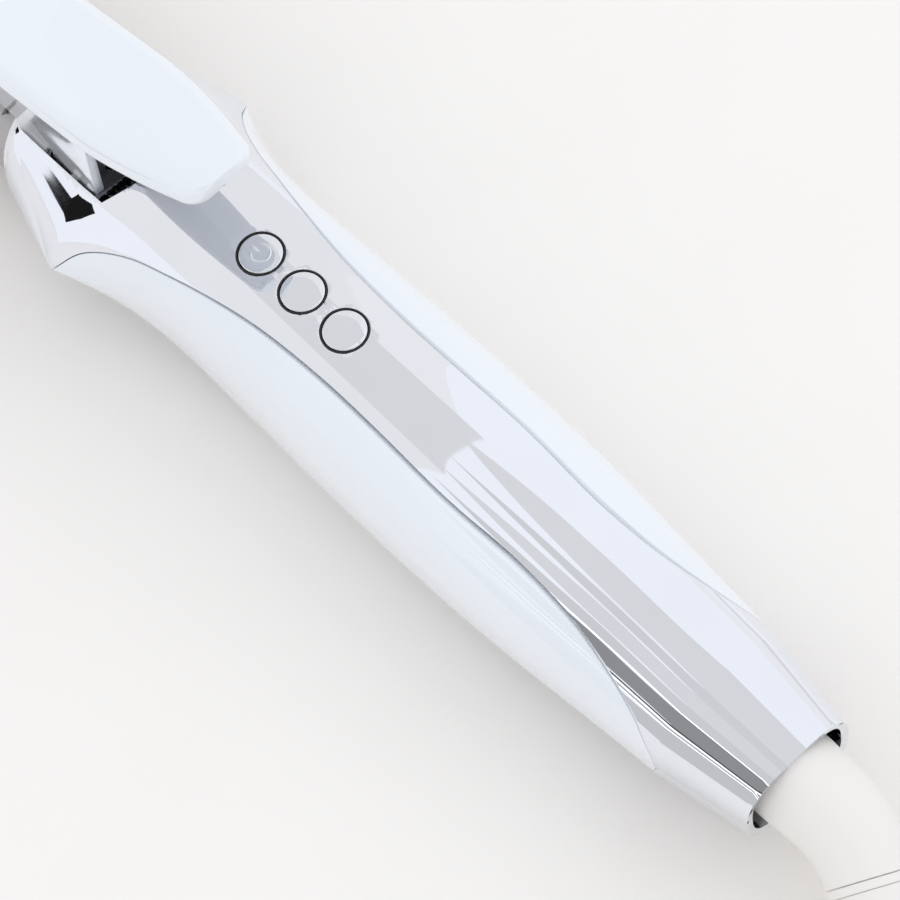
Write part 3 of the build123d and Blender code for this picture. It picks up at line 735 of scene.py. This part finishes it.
def make_lever():
    stations = [LEVER_REAR, -31.1, -30.4, -29.4, -28.2] + [-27.0 + 1.5 * k for k in range(52)]
    stations = [x for x in stations if x <= 49.8] + [LEVER_FRONT]
    rows = []
    for x in stations:
        w = lever_half_width(x)
        end = min(1.0, (x - LEVER_REAR) / 3.4)
        w -= LEVER_BEVEL * (1 - sqrt(max(0.0, 1 - (1 - end) ** 2)))
        top = lever_top(x)
        deep = 3.3 if x < 20 else max(1.9, 3.3 - 0.06 * (x - 20))
        section = []
        for k in range(13):
            y = (w - LEVER_BEVEL) * (1 - k / 6)
            section.append((y, top - 0.25 * (y / w) ** 2))
        shoulder = [(-w + 1.0, top - 0.85), (-w + 0.1, top - 1.9), (-w, top - 2.3), (-w + 0.25, top - deep)]
        under = [(-(w - 1.6) * (1 - k / 4), top - deep) for k in range(9)]
        mirrored = [(-y, z) for y, z in reversed(shoulder)]
        section += shoulder + under + mirrored
        rows.append([place(x, y, z) for y, z in section])
    skin = Skin()
    skin.patch(rows, closed=True)
    skin.cap(rows[0])
    skin.cap(rows[-1])
    slab = skin.build("lever_gloss")
    cheek = [
        (-4.6, 30.5), (26, 23.6), (46, 18.2), (46, 14.9), (9.4, 14.9), (9.4, 9.5),
        (8.6, 6.6), (6.6, 5.3), (4.2, 5.1), (2.0, 6.2), (0.7, 8.4), (-2.4, 13.0),
    ]
    cheeks = []
    for side in (1, -1):
        near, far = sorted((side * 9.45, side * 11.3))
        plate = side_prism("cheek", cheek, near, far)
        trim = []
        for k in range(41):
            x = -6 + 54 * k / 40
            trim.append((x, lever_half_width(x) - 0.1))
        outline = trim + [(x, -w) for x, w in reversed(trim)]
        cut(plate, [prism("trim", outline, 0, 45)], "INTERSECT")
        cheeks.append(plate)
    clear = turned("clear", [(0, 17.3), (50, 17.3), (50, 0), (0, 0)], place(9.6, 0, 0), FORWARD)
    bore = turned("bore", [(0, 1.55), (40, 1.55), (40, 0), (0, 0)],
                  place(HINGE_X, -20, HINGE_Z), Vector((0, 1, 0)), 48)
    cut(slab, cheeks, "UNION")
    cut(slab, [clear, bore])
    soften(slab, 0.3, 2, 32)
    settle(slab, "clamp", material("white_gloss"), "white_gloss", "lever")


def make_clamp_plate():
    inner_r, outer_r = 16.25, 17.15
    start, end = 24.0, 131.0
    rows_out, rows_in = [], []
    count = 60
    for i in range(61):
        x = start + (end - start) * (1 - cos(pi * i / 60)) / 2
        reach = min(1.0, sqrt(max(0.0, 1 - max(0.0, (x - (end - 9)) / 9) ** 2)) * 0.42 + 0.58)
        half = radians(45) * reach
        angles = [pi / 2 - half + 2 * half * k / count for k in range(count + 1)]
        rows_out.append([place(x, outer_r * cos(a), outer_r * sin(a)) for a in angles])
        rows_in.append([place(x, inner_r * cos(a), inner_r * sin(a)) for a in angles])
    skin = Skin()
    skin.patch(rows_out)
    skin.patch(rows_in)
    skin.patch([[r[0] for r in rows_out], [r[0] for r in rows_in]])
    skin.patch([[r[-1] for r in rows_out], [r[-1] for r in rows_in]])
    for k in (0, -1):
        skin.patch([rows_out[k], rows_in[k]])
    plate = soften(skin.build("clamp_plate_satin"), 0.2, 2)
    settle(plate, "clamp", material("barrel_finish"), "barrel_finish", "clamp_plate")


# ---------------------------------------------------------------- barrel


FORWARD = Vector((1, 0, 0))
UPWARD = Vector((0, 0, 1))


def make_barrel():
    start, end = 12.0, 134.0
    r = BARREL_R / MM
    profile = [(0, r - 1.2), (0, r - 0.2), (0.2, r), (end - start - 0.3, r), (end - start, r - 0.3),
               (end - start, r - 1.2)]
    tube = turned("barrel_tube_satin", profile, place(start, 0, 0), FORWARD, 160)
    settle(soften(tube), "handle", material("barrel_finish"), "barrel_finish", "barrel_tube")
    profile = [(0, 16.05), (0, 17.0), (9.0, 17.0), (9.5, 16.5), (9.5, 16.05)]
    collar = turned("barrel_collar_white", profile, place(start, 0, 0), FORWARD, 160)
    settle(soften(collar, 0.15), "handle", material("heatproof_white"), "heatproof_white", "barrel_collar")


def make_cool_tip():
    start, end = 134.1, 151.5
    length = end - start
    profile = [
        (0, 2.9), (0, 15.4), (0.4, 15.85), (1.4, 15.9), (1.7, 15.6), (2.2, 15.6), (2.5, 15.9), (9.0, 15.9),
    ]
    for k in range(1, 17):
        a = pi / 2 * k / 16
        profile.append((9.0 + (length - 9.0) * sin(a), 4.2 + 11.7 * cos(a)))
    profile += [(length - 0.3, 3.2), (length - 4.0, 2.8), (length - 4.0, 2.6)]
    tip = turned("cool_tip_white", profile, place(start, 0, 0), FORWARD, 128)
    settle(soften(tip), "handle", material("heatproof_white"), "heatproof_white", "cool_tip")


# ---------------------------------------------------------------- buttons


BUTTON_TOP = (17.75, 17.65, 17.55)


def button_cap(name, x, top):
    profile = [(-4.4, 0), (-4.4, 1.5), (-4.0, 1.6), (-4.0, 4.0), (-0.3, 4.02)]
    for k in range(1, 6):
        a = pi / 2 * k / 5
        profile.append((-0.3 + 0.25 * sin(a), 3.77 + 0.25 * cos(a)))
    profile += [(0.0, 2.6), (0.03, 1.3), (0.04, 0.0)]
    return soften(turned(name, profile, place(x, 0, top - 0.05), UPWARD, 96))


def raised_line(points, radius, flat, sections=10):
    """A low rounded ridge along a path of (x, y, z) points in millimetres."""
    skin = Skin()
    rows = []
    for k, p in enumerate(points):
        a = Vector(points[max(k - 1, 0)])
        b = Vector(points[min(k + 1, len(points) - 1)])
        forward = (b - a).normalized()
        side = forward.cross(UPWARD).normalized()
        end = 0.35 if k in (0, len(points) - 1) else 1.0
        rows.append([
            place(*(Vector(p) + side * radius * end * cos(2 * pi * j / sections)
                    + UPWARD * flat * end * sin(2 * pi * j / sections)))
            for j in range(sections)
        ])
    skin.patch(rows, closed=True)
    skin.cap(rows[0])
    skin.cap(rows[-1])
    return skin.build("ridge")


def power_mark(x, top):
    """The usual open ring and bar of an on and off button, opening towards the barrel."""
    arc = []
    for k in range(41):
        a = radians(38) + (2 * pi - radians(76)) * k / 40
        arc.append((x + 1.75 * cos(a), 1.75 * sin(a), top))
    bar = [(x + 0.35 + 0.5 * k, 0, top) for k in range(5)]
    return [raised_line(arc, 0.22, 0.14), raised_line(bar, 0.22, 0.14)]


def make_buttons():
    names = ("power", "minus", "plus")
    for x, top, name in zip(BUTTON_X, BUTTON_TOP, names):
        cap = button_cap(name + "_button_chrome", x, top)
        if name == "power":
            join(cap, [soften(part) for part in power_mark(x, top)])
        settle(cap, name + "_key", material("chrome"), "chrome", name + "_button")


def make_button_rings():
    profile = [(-2.2, 4.1), (-2.2, 4.45), (-0.15, 4.45), (0.0, 4.35), (0.0, 4.2), (-0.15, 4.1)]
    seal = soften(turned("seal", profile, Vector((0, 0, 0)), UPWARD, 96))
    points = [place(x, 0, top - 0.12) for x, top in zip(BUTTON_X, BUTTON_TOP)]
    seals = repeat("button_seals", seal, points, material("black_seal"))
    settle(seals, "handle", material("black_seal"), "black_seal", "button_rings")


# ---------------------------------------------------------------- gland


NECK_RIM_R = 8.6
NECK_SEAM_R = 7.5
NECK_STRAIGHT = 6.0
NECK_BEND_R = 24.0
NECK_BEND = radians(33)
NECK_END = 0.7
NECK_LEAN = radians(-35)


def neck_line(s):
    """Point and direction of the elbow's middle line at a distance past the rim."""
    bend = NECK_BEND_R * NECK_BEND
    turn = min(max(s - NECK_STRAIGHT, 0) / NECK_BEND_R, NECK_BEND)
    back = min(s, NECK_STRAIGHT) + NECK_BEND_R * sin(turn)
    side = NECK_BEND_R * (1 - cos(turn))
    rest = max(s - NECK_STRAIGHT - bend, 0)
    back += rest * cos(turn)
    side += rest * sin(turn)
    point = place(REAR_RIM[0] - back, side * cos(NECK_LEAN), side * sin(NECK_LEAN))
    heading = Vector((-cos(turn), sin(turn) * cos(NECK_LEAN), sin(turn) * sin(NECK_LEAN)))
    return point, heading


def neck_solid(name, profile, count=96):
    """A closed ring-shaped solid along the elbow's line, from (distance, radius) pairs."""
    skin = Skin()
    rows = []
    for s, r in profile:
        point, heading = neck_line(s)
        rows.append(ring(point, heading, r * MM, count))
    skin.patch(rows + [rows[0]], closed=True)
    return skin.build(name)


def make_gland():
    seam = NECK_STRAIGHT + NECK_BEND_R * NECK_BEND + NECK_END
    steps = 40
    outer = []
    for k in range(steps + 1):
        s = -6.0 + (seam + 5.8) * k / steps
        outer.append((s, NECK_RIM_R + (NECK_SEAM_R - NECK_RIM_R) * max(s, 0) / seam))
    inner = [(seam - 0.2 - (seam + 28) * k / steps, 3.6) for k in range(steps + 1)]
    profile = outer + [(seam, NECK_SEAM_R - 0.2), (seam, 3.6)] + inner
    profile += [(-31, 3.6), (-31, 5.3), (-30.7, 5.45), (-6, 5.45)]
    elbow = soften(neck_solid("swivel_elbow_satin", profile))
    settle(elbow, "swivel", material("ivory_plastic"), "ivory_plastic", "swivel_elbow")
    r = NECK_SEAM_R
    profile = [
        (seam + 0.1, 3.7), (seam + 0.1, r - 0.25), (seam + 0.3, r), (seam + 1.5, r), (seam + 1.7, r - 0.2),
        (seam + 1.7, 3.7),
    ]
    band = soften(neck_solid("gland_band_satin", profile))
    settle(band, "swivel", material("ivory_plastic"), "ivory_plastic", "gland_band")
    start = seam + 1.8
    profile = [(start, 3.3), (start, r - 0.2), (start + 0.2, r), (start + 4.5, r)]
    for k in range(1, 9):
        a = pi / 2 * k / 8
        profile.append((start + 4.5 + 3.0 * sin(a), r - 3.0 + 3.0 * cos(a)))
    profile += [(start + 7.5, 3.8), (start + 7.2, 3.3)]
    cap = soften(neck_solid("gland_cap_satin", profile))
    settle(cap, "swivel", material("ivory_plastic"), "ivory_plastic", "gland_cap")


# ---------------------------------------------------------------- fasteners and spring


CASE_POSTS = ((-103.0, -5.0), (-103.0, 5.0), (-15.5, -8.0), (-15.5, 8.0))
HOLDER_POSTS = ((-7.0, -6.2), (-7.0, 6.2))
RIVET_X = (31.0, 42.0)


def make_fasteners():
    steel = material("steel")
    piece = screw(-15.0, -13.0, 2.4, 9.0, 1.2, 1.1)
    screws = repeat("case_screws_steel", piece, [place(x, y, 0) for x, y in CASE_POSTS], steel)
    settle(screws, "handle", steel, "steel", "case_screws")
    piece = screw(-2.2, -0.9, 1.6, -15.0, 0.85, 0.8)
    screws = repeat("holder_screws_steel", piece, [place(x, y, 0) for x, y in HOLDER_POSTS], steel)
    settle(screws, "handle", steel, "steel", "holder_screws")
    profile = [
        (16.3, 0.0), (16.3, 1.6), (16.38, 2.1), (16.55, 2.4), (16.67, 2.4), (16.67, 1.45), (19.9, 1.45),
        (19.9, 0.0),
    ]
    piece = soften(turned("rivet", profile, Vector((0, 0, 0)), UPWARD, 48))
    rivets = repeat("clamp_rivets_steel", piece, [place(x, 0, 0) for x in RIVET_X], steel)
    settle(rivets, "clamp", steel, "steel", "clamp_rivets")


def make_spring():
    steel = material("steel")
    spring = coil("clamp_spring_coil", place(HINGE_X, -4.9, HINGE_Z), 8.0, 2.6, 0.55, 9.8, steel)
    settle(soften(spring), "handle", steel, "steel", "clamp_spring")


# ---------------------------------------------------------------- inner pieces


def dress_nodes():
    """Gives every carried-over node the material of its slot."""
    slots = {row["node"]: row["material_slot"] for row in frame["record"]["subparts"]}
    for name, obj in frame["nodes"].items():
        obj.data.materials.clear()
        obj.data.materials.append(material(slots[name]))
        obj.data.polygons.foreach_set("use_smooth", [False] * len(obj.data.polygons))


# ---------------------------------------------------------------- stage


def card(name, corners, radiance):
    """A flat card that only mirror reflections see, so it shapes the chrome and lights nothing."""
    skin = Skin()
    skin.cap(corners)
    board = skin.build(name, closed=False)
    paint, tree, shader = new_material(name)
    shader.inputs["Base Color"].default_value = (0, 0, 0, 1)
    shader.inputs["Specular IOR Level"].default_value = 0
    shader.inputs["Emission Color"].default_value = (radiance, radiance, radiance, 1)
    shader.inputs["Emission Strength"].default_value = 1.0
    board.data.materials.append(paint)
    board.visible_camera = False
    board.visible_diffuse = False
    board.visible_transmission = False
    board.visible_volume_scatter = False
    board.visible_shadow = False


# Ceiling strips along the handle: angle from overhead to the left, start and end, then brightness.
STRIPS_REAR = [
    (-84.0, -76.0, 0.8), (-76.0, -60.0, 0.95), (-19.0, -9.5, 0.78), (-9.5, -3.5, 0.71), (-3.5, 9.0, 0.77),
    (9.0, 20.0, 0.69), (20.0, 21.0, 2.2), (21.0, 44.0, 0.31), (44.0, 47.0, 0.08), (47.0, 50.0, 1.6),
    (50.0, 54.0, 0.5), (54.0, 55.5, 1.9), (55.5, 92.0, 0.62),
]
STRIPS_FRONT = [
    (-80.0, -19.0, 0.45, 0.6, 0.93), (-80.0, -19.0, 0.6, 0.8, 0.89), (-80.0, -19.0, 0.8, 2.4, 0.86),
    (-19.0, 6.0, 0.4, 2.4, 0.78), (6.0, 60.0, 0.4, 2.4, 0.9),
]
STRIP_REAR_END = -2.4
STRIP_CORNER = 0.12
STRIP_TIP = 0.42
CARD_DISTANCE = 1.5


def overhead(x, angle):
    """A point of the ceiling at a place along the handle and an angle to the left."""
    a = radians(angle)
    return Vector((x, CARD_DISTANCE * sin(a), AXIS_Z + CARD_DISTANCE * cos(a)))


# Outline of a dark standing shape by the barrel, as turn from +X and angle from overhead.
DARK_SHAPE = [(37, 81), (42, 74), (48, 69.5), (53, 71), (53, 78), (50, 84), (43, 86)]


def make_stage():
    skin = Skin()
    reach = 2.5
    skin.patch([[Vector((x, y, 0)) for x in (-reach, reach)] for y in (-reach, reach)])
    floor = skin.build("studio_floor", closed=False)
    if floor.data.polygons[0].normal.z < 0:
        floor.data.flip_normals()
    floor.data.materials.append(finish_material(
        "paper_floor", (0.895, 0.865, 0.825), (0.905, 0.875, 0.835), (0.7, 0.8), grain=500, bump=0.02))
    for k, (start, end, brightness) in enumerate(STRIPS_REAR):
        corners = [overhead(STRIP_REAR_END, start), overhead(STRIP_CORNER, start),
                   overhead(STRIP_TIP, (start + end) / 2), overhead(STRIP_CORNER, end),
                   overhead(STRIP_REAR_END, end)]
        card("rear_strip_%d" % k, corners, brightness)
    for k, (start, end, near, far, brightness) in enumerate(STRIPS_FRONT):
        corners = [overhead(near, start), overhead(far, start), overhead(far, end), overhead(near, end)]
        card("front_strip_%d" % k, corners, brightness)
    shape = []
    for turn, lean in DARK_SHAPE:
        t, n = radians(turn), radians(lean)
        shape.append(Vector((1.3 * sin(n) * cos(t), 1.3 * sin(n) * sin(t), AXIS_Z + 1.3 * cos(n))))
    card("dark_shape", shape, 0.012)
    world = bpy.data.worlds.new("studio_world")
    bpy.context.scene.world = world
    world.use_nodes = True
    world.node_tree.nodes["Background"].inputs[0].default_value = (0.943, 0.962, 1.0, 1)
    world.node_tree.nodes["Background"].inputs[1].default_value = 1.04
    key = add_light("key_window", (-0.1, -1.1, 1.3), (-0.05, 0, 0.02), 1.6, 1.2, 3.0, (0.93, 0.96, 1.0))
    key.visible_glossy = False
    key.visible_camera = False


def add_light(name, at, towards, width, height, power, colour):
    data = bpy.data.lights.new(name, "AREA")
    data.shape = "RECTANGLE"
    data.size = width
    data.size_y = height
    data.energy = power
    data.color = colour
    light = bpy.data.objects.new(name, data)
    bpy.context.scene.collection.objects.link(light)
    light.location = at
    light.rotation_mode = "QUATERNION"
    light.rotation_quaternion = (Vector(towards) - Vector(at)).to_track_quat("-Z", "Y")
    return light


CAMERA_TARGET = (-74.06, -4.81, -13.08)
CAMERA_DISTANCE = 624.85
CAMERA_AZIMUTH = radians(149.92)
CAMERA_ELEVATION = radians(62.73)
CAMERA_ROLL = radians(-14.48)
CAMERA_LENS = 140.1


def make_camera():
    """A long lens over the rear left of the handle."""
    data = bpy.data.cameras.new("camera")
    data.lens = CAMERA_LENS
    data.sensor_width = 36
    camera = bpy.data.objects.new("camera", data)
    bpy.context.scene.collection.objects.link(camera)
    out = Vector((cos(CAMERA_ELEVATION) * cos(CAMERA_AZIMUTH), cos(CAMERA_ELEVATION) * sin(CAMERA_AZIMUTH),
                  sin(CAMERA_ELEVATION)))
    across = Vector((0, 0, 1)).cross(out).normalized()
    up = out.cross(across)
    turned_across = cos(CAMERA_ROLL) * across + sin(CAMERA_ROLL) * up
    turned_up = -sin(CAMERA_ROLL) * across + cos(CAMERA_ROLL) * up
    basis = Matrix((turned_across, turned_up, out)).transposed()
    eye = place(*CAMERA_TARGET) + out * CAMERA_DISTANCE * MM
    camera.matrix_world = Matrix.Translation(eye) @ basis.to_4x4()
    bpy.context.scene.camera = camera


# ---------------------------------------------------------------- add-on


class HandleSettings(bpy.types.PropertyGroup):
    wall: bpy.props.FloatProperty(
        name="Shell wall", description="Thickness of the chromed shells", default=1.5 * MM, unit="LENGTH")
    panel_gap: bpy.props.FloatProperty(
        name="Panel gap", description="Gap between a side panel and the chrome",
        default=0.3 * MM, unit="LENGTH")


class FinishSettings(bpy.types.PropertyGroup):
    chrome: bpy.props.FloatVectorProperty(
        name="Chrome", description="Tint of the plating",
        default=(0.85, 0.87, 0.92), subtype="COLOR", size=3)
    white: bpy.props.FloatVectorProperty(
        name="White", description="Glossy panels and lever",
        default=(0.81, 0.84, 0.88), subtype="COLOR", size=3)
    ivory: bpy.props.FloatVectorProperty(
        name="Ivory", description="Satin swivel parts", default=(0.85, 0.82, 0.78), subtype="COLOR", size=3)


class CURLING_OT_inner_pieces(bpy.types.Operator):
    """Dress the carried-over nodes"""
    bl_idname = "curling.inner_pieces"
    bl_label = "Inner pieces"

    def execute(self, context):
        dress_nodes()
        return {"FINISHED"}


class CURLING_OT_top_shell(bpy.types.Operator):
    """Make the chrome top shell with its pocket and button holes"""
    bl_idname = "curling.top_shell"
    bl_label = "Top shell"

    def execute(self, context):
        make_top_shell()
        return {"FINISHED"}


class CURLING_OT_bottom_shell(bpy.types.Operator):
    """Make the chrome bottom shell with its screw holes"""
    bl_idname = "curling.bottom_shell"
    bl_label = "Bottom shell"

    def execute(self, context):
        make_bottom_shell()
        return {"FINISHED"}


class CURLING_OT_side_panels(bpy.types.Operator):
    """Make the two glossy white side panels"""
    bl_idname = "curling.side_panels"
    bl_label = "Side panels"

    def execute(self, context):
        make_panel(1)
        make_panel(-1)
        return {"FINISHED"}


class CURLING_OT_lever(bpy.types.Operator):
    """Make the white thumb lever"""
    bl_idname = "curling.lever"
    bl_label = "Lever"

    def execute(self, context):
        make_lever()
        return {"FINISHED"}


class CURLING_OT_clamp_plate(bpy.types.Operator):
    """Make the clamp plate"""
    bl_idname = "curling.clamp_plate"
    bl_label = "Clamp plate"

    def execute(self, context):
        make_clamp_plate()
        return {"FINISHED"}


class CURLING_OT_barrel(bpy.types.Operator):
    """Make the barrel and its collar"""
    bl_idname = "curling.barrel"
    bl_label = "Barrel"

    def execute(self, context):
        make_barrel()
        return {"FINISHED"}


class CURLING_OT_cool_tip(bpy.types.Operator):
    """Make the cool tip"""
    bl_idname = "curling.cool_tip"
    bl_label = "Cool tip"

    def execute(self, context):
        make_cool_tip()
        return {"FINISHED"}


class CURLING_OT_buttons(bpy.types.Operator):
    """Make the three chromed buttons"""
    bl_idname = "curling.buttons"
    bl_label = "Buttons"

    def execute(self, context):
        make_buttons()
        return {"FINISHED"}


class CURLING_OT_button_rings(bpy.types.Operator):
    """Make the black seals around the buttons"""
    bl_idname = "curling.button_rings"
    bl_label = "Button seals"

    def execute(self, context):
        make_button_rings()
        return {"FINISHED"}


class CURLING_OT_gland(bpy.types.Operator):
    """Make the swivelling elbow, its band and its cap"""
    bl_idname = "curling.gland"
    bl_label = "Cord gland"

    def execute(self, context):
        make_gland()
        return {"FINISHED"}


class CURLING_OT_fasteners(bpy.types.Operator):
    """Make the case screws, holder screws and rivets"""
    bl_idname = "curling.fasteners"
    bl_label = "Fasteners"

    def execute(self, context):
        make_fasteners()
        return {"FINISHED"}


class CURLING_OT_spring(bpy.types.Operator):
    """Make the coil spring on the hinge pin"""
    bl_idname = "curling.spring"
    bl_label = "Clamp spring"

    def execute(self, context):
        make_spring()
        return {"FINISHED"}


class CURLING_OT_stage(bpy.types.Operator):
    """Make the floor, the light and the camera"""
    bl_idname = "curling.stage"
    bl_label = "Stage"

    def execute(self, context):
        make_stage()
        make_camera()
        return {"FINISHED"}


OPERATORS = [
    CURLING_OT_inner_pieces,
    CURLING_OT_top_shell,
    CURLING_OT_bottom_shell,
    CURLING_OT_side_panels,
    CURLING_OT_lever,
    CURLING_OT_clamp_plate,
    CURLING_OT_barrel,
    CURLING_OT_cool_tip,
    CURLING_OT_buttons,
    CURLING_OT_button_rings,
    CURLING_OT_gland,
    CURLING_OT_fasteners,
    CURLING_OT_spring,
    CURLING_OT_stage,
]


class CURLING_PT_panel(bpy.types.Panel):
    """Lists the makers of the curling iron"""
    bl_label = "Curling Iron"
    bl_idname = "CURLING_PT_panel"
    bl_space_type = "VIEW_3D"
    bl_region_type = "UI"
    bl_category = "Curling Iron"

    def draw(self, context):
        for made in OPERATORS:
            self.layout.operator(made.bl_idname)


CLASSES = [HandleSettings, FinishSettings, *OPERATORS, CURLING_PT_panel]


def register():
    for made in CLASSES:
        bpy.utils.register_class(made)
    bpy.types.Scene.curling_handle = bpy.props.PointerProperty(type=HandleSettings)
    bpy.types.Scene.curling_finishes = bpy.props.PointerProperty(type=FinishSettings)


def unregister():
    del bpy.types.Scene.curling_handle
    del bpy.types.Scene.curling_finishes
    for made in reversed(CLASSES):
        bpy.utils.unregister_class(made)


def main():
    register()
    bpy.context.scene.view_settings.view_transform = "Standard"
    for made in OPERATORS:
        getattr(bpy.ops.curling, made.bl_idname.split(".")[1])()


if __name__ == "__main__":
    main()
